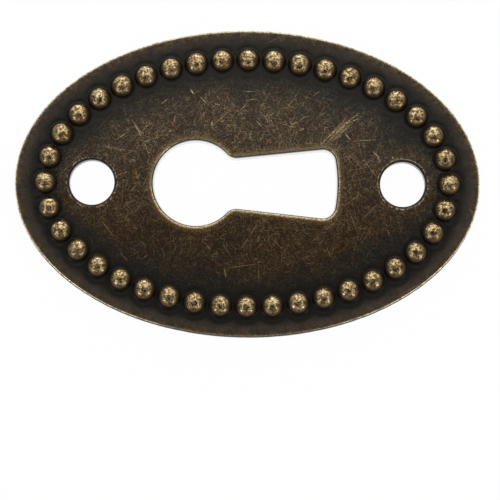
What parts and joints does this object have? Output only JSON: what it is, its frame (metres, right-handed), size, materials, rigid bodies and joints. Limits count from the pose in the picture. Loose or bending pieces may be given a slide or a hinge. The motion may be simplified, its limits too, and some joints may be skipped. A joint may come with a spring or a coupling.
{
  "type": "keyhole escutcheon",
  "caption": "Oval keyhole escutcheon in aged brass finish: a cast plate with a beaded border, a sideways keyhole and a screw hole at each end.",
  "frame": {"origin": "centre of the flat back face, which lies against the wood", "axes": "+Z out of the beaded front, +X along the length towards the slot end of the keyhole, +Y across the width"},
  "size_m": [0.033, 0.0218, 0.002],
  "materials": {
    "antique_brass": "antique"
  },
  "bodies": {
    "root": {"escutcheon": "antique_brass"}
  },
  "joints": []
}
